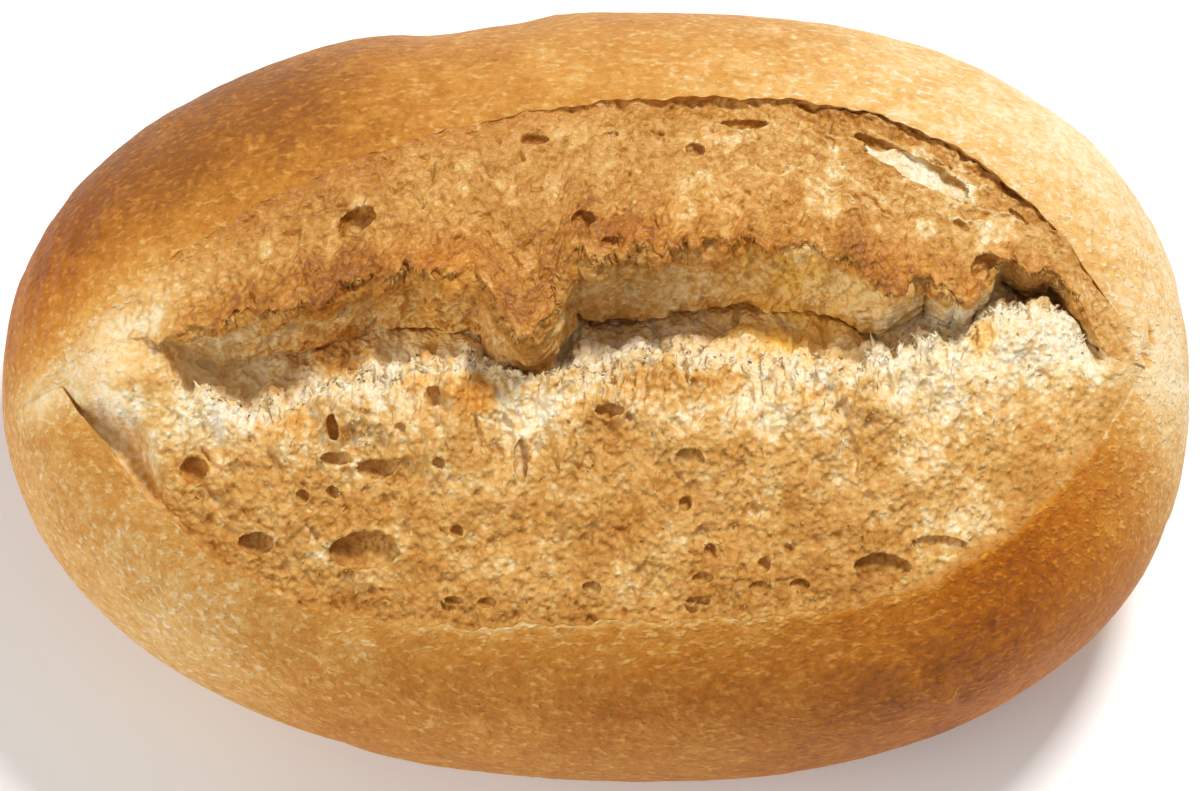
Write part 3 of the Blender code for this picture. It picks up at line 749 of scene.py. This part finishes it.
toneLook = {  # how much browner each thing makes the torn faces; for the pores, the crack and the folds it is painted shade
    "spur": 0.42,  # the browning itself, at the pale spur
    "ends": 0.55,  # and at the slash's two ends
    "pulled": -0.35,
    "fibres": 0.25,
    "cream": -0.22,
    "creamFrom": (0.4, 0.65),
    "waver": 0.14,
    "pores": 0.1,  # painted shade, darker for each mm of depth
    "height": 0.2,
    # painted shade in the crevice's crack and in the folds' creases
    "crack": 0.45,
    "folds": 0.1,
    "earAmber": 0.35,  # the ear's thin torn edge
    "earAmberReach": 0.3,
    "amberWaver": 0.5,
    "skinWaver": 0.3,
    "spurSkin": 1.2,
    "cornerSkin": 5 * mm,
    "backSkin": ((-58, 1.2), (-45, 0.6), (-20, 0.35), (12, 0.05)),  # the skin's reach from each lip
    "frontSkin": ((-61, 0.3), (-58, 0.04), (35, 0.04), (56, 0.3)),
}


def addUp(patches, x, y):
    return sum(patchSpot[-1] * patch(x, y, patchSpot[:-1]) for patchSpot in patches)


def crustTone(x, y, z):
    ends = addUp(endPatches, x, y) * np.interp(z, endReach, (0, 1))
    return skinLook["tone"] + addUp(crustToneAndSheenPatches, x, y) + ends


def zoneMask(name, count):
    start = {"lower": 0, "crevice": grid["lower"] - 1, "ear": grid["lower"] + grid["crevice"] - 2}[name]
    mask = np.zeros(count, bool)
    mask[start:start + grid[name]] = True
    return mask


def softMask(mask, width=8):
    # a zone's share in each column, blended over some columns at its ends
    kernel = np.ones(width) / width
    return np.convolve(np.pad(mask.astype(float), width, mode="edge"), kernel, mode="same")[width:-width]


def openBubbles(points, browning, smooth, spots, turned, tone):
    # each bubble opens as a hollow a little wider inside than at its mouth, with painted shade on its inner
    # wall
    normals = normalsOf(points)
    widest = bubbleLook["widest"]
    rimTurn = math.pi - math.asin(1 / widest)
    mouth = math.sqrt(widest**2 - 1)
    for atX, atY, radiusX, radiusY, depth in spots:
        away = np.hypot(points[..., 0] - atX * mm, points[..., 1] - atY * mm)
        near = away < max(radiusX, radiusY) * bubbleLook["reach"] * mm
        if not near.any():
            continue
        normal = normals[near].mean(axis=0)
        normal /= np.linalg.norm(normal)
        normal *= np.sign(normal[2])
        centre = points[np.unravel_index(away.argmin(), away.shape)].copy()
        lipAround = lipY(np.array([atX - 1, atX + 1]) * mm, "back")
        slope = turned * float(lipAround[1] - lipAround[0]) / (2 * mm)
        across = np.cross(normal, (1, slope, 0))
        across /= np.linalg.norm(across)
        lengthwise = np.cross(across, normal)
        offset = points[near] - centre
        placeX, placeY = points[near][:, 0], points[near][:, 1]
        wobble = 1 + bubbleLook["edge"] * softNoise(placeX, placeY, *fields["bubbleEdge"])
        wobble = wobble + bubbleLook["nicks"] * softNoise(placeX, placeY, *fields["bubbleNicks"])
        u = offset @ lengthwise / (radiusX * mm) * wobble
        v = offset @ across / (radiusY * mm) * wobble
        share = np.hypot(u, v)
        ring = np.exp(-(((share - widest) / bubbleLook["lipWidth"]) ** 2))
        rows, columns = np.nonzero(near)
        browning[rows, columns] -= bubbleLook["lipPaler"] * ring
        lipHeight = bubbleLook["lipHeight"] * min(radiusX, radiusY) * mm
        points[rows, columns] += np.outer(lipHeight * ring, normal)
        smooth[rows, columns] *= np.clip((share - 1) / bubbleLook["smoothReach"], 0, 1)
        hit = share < 1
        u, v, share, offset = u[hit], v[hit], share[hit], offset[hit]
        turn = share * rimTurn
        spread = widest * np.sin(turn) / np.maximum(share, 1e-6)
        down = (mouth + widest * np.cos(turn)) / (widest + mouth)
        moved = np.outer(u * spread * radiusX * mm, lengthwise) + np.outer(v * spread * radiusY * mm, across)
        height = np.outer((offset @ normal) * share**2, normal)
        rows, columns = rows[hit], columns[hit]
        points[rows, columns] = centre + moved + height - np.outer(down * depth * mm, normal)
        floorShare = np.clip(bubbleLook["floorSpread"] * (1 - share), 0, 1)
        # painted shade darkens the inner wall; the floor takes the bubble's own tone
        browning[rows, columns] += bubbleLook["wallShade"] * share + tone * floorShare


print("slash")
x = rowPlaces(grid["rows"])
inside = (x > slash["cornerX"][0]) & (x < slash["cornerX"][1])
rowX = x[inside]
xs = rowX[:, None]
stationY, stationZ, shares, openness = slashStations(rowX)
places = [evenPlaces(stationY, stationZ, zoneEnds[i], zoneEnds[i + 1], grid[zone])
          for i, zone in enumerate(zones)]
places = np.concatenate([places[0], places[1][1:], places[2][1:]])
columns = len(places)
order = np.arange(columns)
masks = {zone: zoneMask(zone, columns) for zone in zones}
softMasks = {zone: softMask(mask) for zone, mask in masks.items()}
weights = splineWeights(len(stationY), places)
faceY, faceZ = (weights @ stationY).T, (weights @ stationZ).T
reliefShare, bakedShare, fibres = (weights @ shares).T[:, None, :] * np.ones((3, len(rowX), 1))
opened = openness[:, None] * np.ones((1, columns))
faceZ = faceZ + reliefShare * opened * crumbRelief(xs, faceY)
lumpShare = eased(np.minimum(faceY - faceY[:, :1], faceY[:, -1:] - faceY) / tornLook["lumpFade"])
for atX, atY, radius, height in slash["lumps"]:
    away = np.hypot(xs - atX * mm, faceY - atY * mm) / (radius * mm)
    faceZ = faceZ + lumpShare * height * mm * np.exp(-2 * away**2)
face = np.dstack([np.broadcast_to(xs, faceY.shape), faceY, faceZ])

# Distance along the skin from the front lip, and behind the torn edge from the back lip
fromFrontLip = evened(acrossLength(face))
tornColumn = grid["lower"] + grid["crevice"] - 2
beforeEdge = lipY(rowX, "front")[:, None] + fromFrontLip
backLip = lipY(rowX, "back")[:, None]
behindEdge = backLip - fromFrontLip[:, -1:] + fromFrontLip
over = np.where(order < tornColumn, beforeEdge, behindEdge)
valley = places[grid["lower"] + evened(faceZ)[:, grid["lower"]:-grid["ear"]].argmin(axis=1)][:, None]
cracked = along(rowX, slash["depth"])[:, None] > tornLook["minDepth"]
merged = shareAt(xs, tornLook["spurEnd"])
fibres = fibres * merged
browning = toneLook["spur"] + (bakedShare - toneLook["spur"]) * merged
smooth = np.ones(browning.shape)
for kind, zone, turned, tone in (("lower", "lower", 0, -0.05), ("ear", "ear", 0.9, 0.05),
                                 ("trough", "ear", 1.1, -0.55)):
    mask = masks[zone]
    part = [whole[:, mask].copy() for whole in (face, browning, smooth)]
    openBubbles(*part, bubbles[kind], turned, tone)
    face[:, mask], browning[:, mask], smooth[:, mask] = part

print("crumb texture")
u, v = xs + 0 * over, over
warpedU = u + tornLook["warp"] * softNoise(u, v, *fields["warpU"])
warpedV = v + tornLook["warp"] * softNoise(u, v, *fields["warpV"])
drop = np.zeros(u.shape)
for kind, look in crumbPores.items():
    share = sum(softMasks[zone] * (poreShares[zone][kind][0] + poreShares[zone][kind][1] * fibres)
                for zone in zones)
    drop = np.maximum(drop, openPores(warpedU, warpedV, look, np.clip(share, 0, tornLook["poreLimit"])))
leaning = warpedU + tornLook["lean"] * softNoise(u, v, *fields["lean"])
ridges = 1 - np.abs(streaks(leaning, v, "ridges"))
tufts = 1 - np.abs(streaks(leaning, v, "tufts"))
frayed = 0.55 + 0.45 * softNoise(u, v, *fields["frayed"])
fray = tornLook["ridges"] * (ridges**2 - tornLook["tuftMiddle"])
fray = fray + tornLook["tufts"] * (tufts**2 - tornLook["tuftMiddle"])
fray = fibres * opened * frayed * fray
rough = tornLook["rough"] * roughNoise(warpedU, warpedV, *fields["rough"])
rough = rough + tornLook["grain"] * roughNoise(warpedU, warpedV, *fields["grain"])
rough = rough * (1 + sum(more * softMasks[zone] for zone, more in tornLook["rougher"].items()))
rough = rough + tornLook["wall"] * softMasks["crevice"] * roughNoise(warpedU, warpedV, *fields["wall"])
folds = np.abs(streaks(leaning, v, "folds"))
rough = rough + tornLook["folds"] * softMasks["crevice"] * (0.6 - folds)
shelfEdge = tornLook["shelfWidth"] + tornLook["shelfWaver"] * softNoise(u, 0 * v, *fields["shelf"])
shelf = np.clip((shelfEdge - (backLip - over)) / tornLook["shelfEdge"], 0, 1)
shelf = tornLook["shelf"] * shelf * softMasks["ear"] * shareAt(u, tornLook["shelfAlong"])
cosine, sine = math.cos(tornLook["pullTurn"]), math.sin(tornLook["pullTurn"])
pulled = 1 - np.abs(streaks(u * cosine + v * sine, -u * sine + v * cosine, "pulled"))
pulledShare = softMasks["ear"] * shareAt(u, tornLook["pulledAlong"])
pulledShare = pulledShare * np.clip((v - tornLook["pulledFrom"]) / mm, 0, 1)
crackPlace = evened(valley) + tornLook["crackAt"]
crackPlace = crackPlace + tornLook["crackWaver"] * softNoise(u, 0 * v, *fields["crackPlace"])
crack = np.exp(-(((places - crackPlace) / tornLook["crackWidth"]) ** 2))
crack = crack * np.clip(0.7 + 0.6 * softNoise(u, 0 * v, *fields["crackDepth"]), 0, 1)
crack = crack * merged * cracked * shareAt(u, tornLook["crackAlong"])
hanging = np.clip((places - crackPlace) / tornLook["hangingStart"], 0, 1)
hanging = hanging * np.interp(places, tornLook["hangingEnd"], (1, 0))
hanging = tornLook["hanging"] * hanging * shareAt(u, tornLook["hangingAlong"]) * cracked
lift = fray + shelf + hanging * opened + rough * opened - tornLook["crackDepth"] * crack * opened
lift = lift + tornLook["pulled"] * (pulled**2 - tornLook["tuftMiddle"]) * pulledShare - drop * opened * smooth
fromEdge = np.minimum(order, order[::-1]) / tornLook["edgeColumns"]
lift = lift * np.clip(fromEdge, 0, 1) * (smooth + tornLook["bubbleKeeps"] * (1 - smooth))
lift = lift * (merged + tornLook["spurKeeps"] * (1 - merged))
face = face + normalsOf(face) * lift[..., None]

for zone in zones:
    browning += softMasks[zone] * addUp(toneAndLightPatches[zone], xs, faceY)
creamSpots = np.interp(softNoise(warpedU, warpedV, *fields["cream"]), toneLook["creamFrom"], (0, 1))
browning += toneLook["pulled"] * (pulled**2 - 0.5) * pulledShare
browning += toneLook["fibres"] * fibres * softNoise(u, v, *fields["toasted"])
browning += toneLook["cream"] * creamSpots * (softMasks["ear"] + 0.5 * softMasks["lower"])
browning += toneLook["waver"] * roughNoise(u, v, *fields["tone"])
# painted shade: darker with each pore's depth, in the crack and in the folds' creases; raised crumb is
# browner
browning += toneLook["pores"] * drop / mm + toneLook["height"] * np.clip(lift, -mm, mm) / mm
browning += toneLook["crack"] * crack + toneLook["folds"] * softMasks["crevice"] * folds
browning += (toneLook["ends"] - browning) * (1 - opened) ** 2
browning = np.clip(browning, 0, 1)

# golden crumb, and a painted glow where light shines through thin crumb
amberAndGlow = sum(softMasks[zone] * addUp(glowAndAmberPatches[zone], xs, faceY) for zone in zones)
earPlace = np.clip((order - grid["lower"] - grid["crevice"]) / grid["ear"], 0, 1)
edgeShare = softMasks["ear"] * np.exp(-((earPlace / toneLook["earAmberReach"]) ** 2))
amberAndGlow += toneLook["earAmber"] * edgeShare * merged
amberAndGlow = np.clip(amberAndGlow * (1 + toneLook["amberWaver"] * roughNoise(u, v, *fields["amberAndGlow"])), 0, 1)

# How far the crust's skin runs onto the torn faces: from the back lip, the front lip and the corners
backReach, frontReach = shareAt(u, toneLook["backSkin"]), shareAt(u, toneLook["frontSkin"])
skin = np.maximum(1 - order[::-1] / grid["ear"] / backReach, 1 - order / grid["lower"] / frontReach)
toCorner = np.minimum(u - slash["cornerX"][0], slash["cornerX"][1] - u)
skin = np.maximum(skin, 1 - toCorner / toneLook["cornerSkin"])
browning = browning + (crustTone(xs, faceY, face[..., 2]) - browning) * np.clip(skin, 0, 1)
skin = np.maximum(skin, toneLook["spurSkin"] * (1 - merged) * patch(xs, faceY, spurPatch))
skin = np.clip(skin + toneLook["skinWaver"] * roughNoise(u, v, *fields["skin"]), 0, 1)

print("crust")
frontY, frontZ = crustSide(x, "front", grid["crustColumns"])
backY, backZ = crustSide(x, "back", grid["crustColumns"])
crustY = np.hstack([frontY, backY[:, -2::-1]])
crustZ = np.hstack([frontZ, backZ[:, -2::-1]])
crustX = x[:, None] + 0 * crustY
crust = np.dstack([crustX, crustY, crustZ])
crustOver = acrossLength(crust)
fromLip = np.minimum(crustOver, crustOver[:, -1:] - crustOver)
swell = skinLook["swell"] * roughNoise(crustX, crustOver, *fields["crustSwell"])
swell = swell + skinLook["ripple"] * roughNoise(crustX, crustOver, *fields["crustRipple"])
swell = swell * np.clip(crustZ / skinLook["baseFade"], 0, 1) * np.clip(fromLip / skinLook["lipFade"], 0, 1)
outward = normalsOf(crust)
outward = outward * np.sign(outward[:, 5:6, 2:])
crust = crust + outward * swell[..., None]
crustBrowning = crustTone(crustX, crustY, crustZ)
crustBrowning += skinLook["toneWaver"] * roughNoise(crustX, crustOver, *fields["crustTone"])
crustBrowning += skinLook["baseDarker"] * np.clip(1 - crustZ / skinLook["baseReach"], 0, 1)
for atX, atY, radiusX, radiusY, height in crustMarks:
    ring = np.hypot((crustX - atX * mm) / radiusX, (crustY - atY * mm) / radiusY) / mm
    shape = np.exp(-(ring**4))
    if height > 0:
        shape = np.exp(-(((ring - 0.8) / 0.25) ** 2)) + 0.4 * shape
    shape = shape * (crustZ > body["waist"])
    crust = crust + height * mm * shape[..., None] * outward
    # painted shade in the pits; the raised flakes are paler skin
    crustBrowning += (skinLook["pitShade"] if height < 0 else -skinLook["flakePaler"]) * shape
# a painted highlight along the front lip, and a darker back lip edge
ridge = (crustY < 0) * shareAt(crustX, skinLook["frontHighlight"])
ridge = ridge - (crustY > 0) * shareAt(crustX, skinLook["backRidge"])
lipRidge = np.exp(-((fromLip / skinLook["ridgeWidth"]) ** 2)) * ridge
crustShades = {
    "browning": np.clip(crustBrowning - skinLook["lipHighlight"] * lipRidge, 0, 1),
    "amberAndGlow": np.clip(addUp(goldenPatches, crustX, crustY), 0, 1),
}

crustMaterial = bakedCrust()
crumbMaterial = tornMaterial("torn crumb", crumbFinish)
zonePieces = {
    "lower": ("lowerFace", crumbMaterial),
    "crevice": ("crevice", crumbMaterial),
    "ear": ("crustEar", tornMaterial("blistered ear", earFinish)),
}
pieces = [meshPiece("crust", crust, crustShades, crustMaterial, True)]
for zone, mask in masks.items():
    name, material = zonePieces[zone]
    shades = {"browning": browning[:, mask], "skin": skin[:, mask], "amberAndGlow": amberAndGlow[:, mask]}
    pieces.append(meshPiece(name, face[:, mask], shades, material))

print("torn fibres")
fibreLook = {  # each kind's places along the stations' curve, and its lean out of and along the skin
    "seed": 61,
    "endRows": 20,
    "endReach": 7 * mm,
    "scatter": 0.3,
    "bend": 0.35,
    "flatness": 0.6,
    "rings": ((-0.3, 1), (0.35, 0.7), (0.7, 0.4)),  # place along the fibre, share of its width
    "turns": (0, 2.1, 4.2),
    "kinds": (
        {"count": 420, "places": (0.262, 0.33), "length": (0.4 * mm, 1.2 * mm),
         "width": (0.2 * mm, 0.5 * mm), "lean": (0.55, 0.9), "browning": (0.0, 0.3)},  # the crevice's edge
        {"count": 420, "places": (0.66, 0.72), "length": (0.4 * mm, 1.3 * mm),
         "width": (0.12 * mm, 0.3 * mm), "lean": (0.35, -0.9), "browning": (0.35, 0.8)},  # the ear's edge
        {"count": 420, "places": (0.05, 0.26), "length": (0.3 * mm, 0.8 * mm),
         "width": (0.14 * mm, 0.3 * mm), "lean": (0.8, 0.5), "browning": (0.15, 0.6)},  # the lower face
    ),
}


def unit(vector):
    return vector / np.linalg.norm(vector)


def addFibre(points, faces, base, lean, look, draw):
    # a tapering strand of three rings and a tip
    lean = unit(lean + draw.normal(0, fibreLook["scatter"], 3))
    side = unit(np.cross(lean, draw.normal(0, 1, 3)))
    other = fibreLook["flatness"] * np.cross(lean, side)
    length = draw.uniform(*look["length"]) * draw.uniform(0.5, 1)
    width = draw.uniform(*look["width"])
    bend = draw.normal(0, fibreLook["bend"], 3)
    start = len(points)
    for step, size in fibreLook["rings"]:
        middle = base + lean * length * step + bend * length * step**2
        for turn in fibreLook["turns"]:
            points.append(middle + width * size * (side * math.cos(turn) + other * math.sin(turn)))
    points.append(base + lean * length + bend * length)
    pairs = ((0, 1), (1, 2), (2, 0))
    for ring in (start, start + 3):
        faces += [(ring + a, ring + b, ring + 3 + b, ring + 3 + a) for a, b in pairs]
    faces += [(start + 6 + a, start + 6 + b, start + 9) for a, b in pairs]


draw = np.random.default_rng(fibreLook["seed"])
faceNormals = normalsOf(face)
faceNormals *= np.sign(faceNormals[:, :1, 2:])
acrossWay = np.gradient(face, axis=1)
acrossWay /= np.maximum(np.linalg.norm(acrossWay, axis=2, keepdims=True), 1e-12)
fibrePoints, fibreFaces, fibreBrowning = [], [], []
for look in fibreLook["kinds"]:
    for _ in range(look["count"]):
        row = draw.integers(fibreLook["endRows"], len(rowX) - fibreLook["endRows"])
        column = np.searchsorted(places, draw.uniform(*look["places"]))
        if merged[row, 0] < 1 or toCorner[row, 0] < fibreLook["endReach"]:
            continue
        lean = look["lean"][0] * faceNormals[row, column] + look["lean"][1] * acrossWay[row, column]
        before = len(fibrePoints)
        addFibre(fibrePoints, fibreFaces, face[row, column], lean, look, draw)
        tone = 0.5 * browning[row, column] + 0.5 * draw.uniform(*look["browning"])
        fibreBrowning += [tone] * (len(fibrePoints) - before)
fibreMesh = bpy.data.meshes.new("tornFibres")
fibreMesh.from_pydata(fibrePoints, [], fibreFaces)
fibreMesh.attributes.new("browning", "FLOAT", "POINT").data.foreach_set("value", fibreBrowning)
fibreMesh.attributes.new("skin", "FLOAT", "POINT")
fibreMesh.attributes.new("amberAndGlow", "FLOAT", "POINT")
fibreMesh.materials.append(crumbMaterial)
fibreMesh.shade_smooth()
pieces.append(bpy.data.objects.new("tornFibres", fibreMesh))
bpy.context.scene.collection.objects.link(pieces[-1])

for piece in pieces:
    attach(piece, "root")
    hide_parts("bolillo_roll")
    print(piece.name, len(piece.data.polygons), "faces")

# Studio

studio = {
    "floor": "#fbfaf7",
    "floorGlow": 0.1,
    "backdrop": 0.36,
    "keyPower": 6.0,
    "keySize": 0.16,
    "keyFrom": (0.25, 0.33, 0.74),
    "fillPower": 3.4,
    "fillSize": 0.5,
    "fillFrom": (-0.75, -0.3, 0.45),
    "lightAim": (0, 0, 0.03),
    "elevation": 68,
    "distance": 0.6107,
    "lens": 160,
    "target": (0.5 * mm, 0, 22.1 * mm),
}


def pointAt(item, place, target):
    item.location = place
    item.rotation_euler = (Vector(target) - Vector(place)).to_track_quat("-Z", "Y").to_euler()


def areaLight(name, power, size, place):
    light = bpy.data.lights.new(name, "AREA")
    light.energy = power
    light.size = size
    item = bpy.data.objects.new(name, light)
    bpy.context.scene.collection.objects.link(item)
    pointAt(item, place, studio["lightAim"])


print("studio")
areaLight("key", studio["keyPower"], studio["keySize"], studio["keyFrom"])
areaLight("fill", studio["fillPower"], studio["fillSize"], studio["fillFrom"])
world = bpy.data.worlds.new("studio")
world.use_nodes = True
world.node_tree.nodes["Background"].inputs["Color"].default_value = (1, 1, 1, 1)
world.node_tree.nodes["Background"].inputs["Strength"].default_value = studio["backdrop"]
bpy.context.scene.world = world

# a matt white sweep that glows a little, so that it stays white round the roll's soft shadow
floorMaterial, _, floorShader = startMaterial("matt white floor")
floorShader.inputs["Base Color"].default_value = toLinear(studio["floor"])
floorShader.inputs["Roughness"].default_value = 0.9
floorShader.inputs["Emission Color"].default_value = (1, 1, 1, 1)
floorShader.inputs["Emission Strength"].default_value = studio["floorGlow"]
floorShape = bmesh.new()
bmesh.ops.create_grid(floorShape, x_segments=1, y_segments=1, size=1.5)
floorMesh = bpy.data.meshes.new("floor")
floorShape.to_mesh(floorMesh)
floorShape.free()
floorMesh.materials.append(floorMaterial)
floor = bpy.data.objects.new("floor", floorMesh)
bpy.context.scene.collection.objects.link(floor)

camera = bpy.data.objects.new("camera", bpy.data.cameras.new("camera"))
bpy.context.scene.collection.objects.link(camera)
camera.data.lens = studio["lens"]
camera.data.sensor_width = 36
tilt = math.radians(studio["elevation"])
target = Vector(studio["target"])
pointAt(camera, target + studio["distance"] * Vector((0, -math.cos(tilt), math.sin(tilt))), target)
bpy.context.scene.camera = camera
bpy.context.scene.view_settings.view_transform = "Standard"
